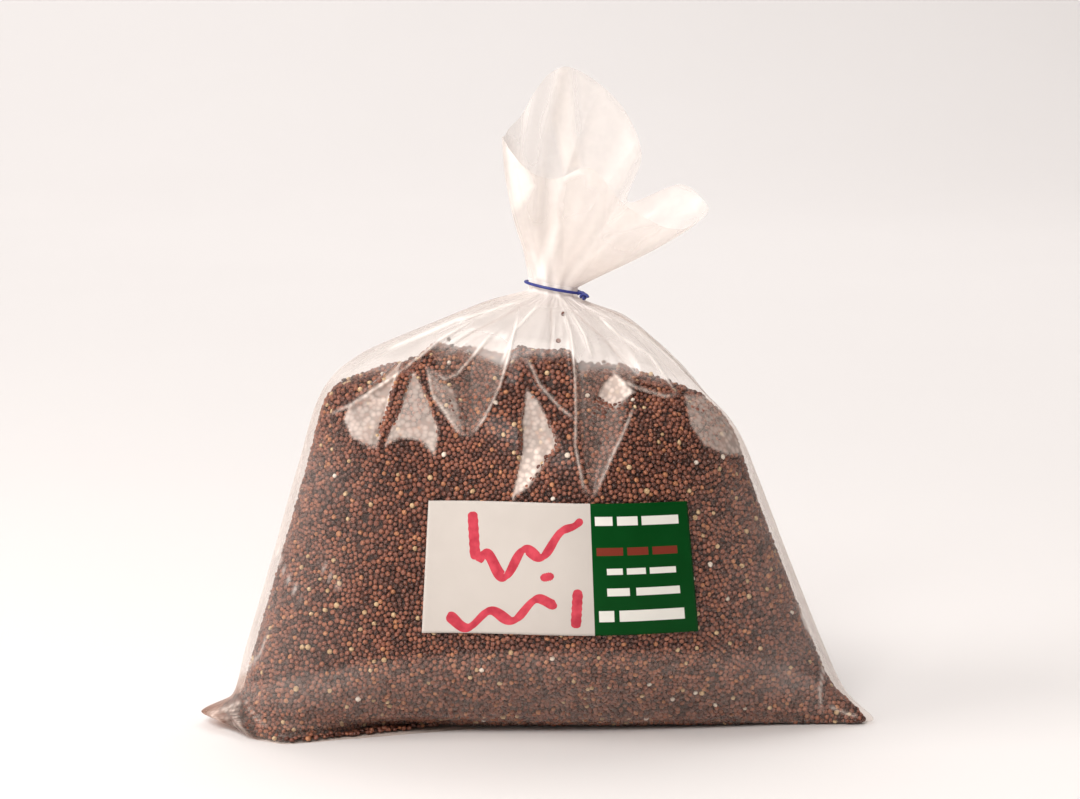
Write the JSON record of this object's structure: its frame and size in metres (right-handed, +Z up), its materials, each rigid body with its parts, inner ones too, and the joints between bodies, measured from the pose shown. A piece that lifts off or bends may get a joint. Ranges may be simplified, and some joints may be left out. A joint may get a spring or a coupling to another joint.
{
  "type": "tied clear bag of red quinoa",
  "caption": "Clear plastic bag filled with red quinoa, gathered and tied at the neck with a thin blue tie, with a plain sticker on its front.",
  "frame": {"origin": "on the ground under the middle of the standing bag", "axes": "+Z up; the sticker faces -Y; the bag's longer, higher shoulder is towards -X"},
  "size_m": [0.249, 0.1019, 0.241],
  "materials": {
    "clear_film": "clear glossy film over red-brown grains",
    "tie_wire": "blue plastic-coated wire",
    "label_paper": "smooth sticker paper with a slight sheen"
  },
  "bodies": {
    "root": {"bag": "clear_film", "tie": "tie_wire", "label": "label_paper"}
  },
  "joints": []
}
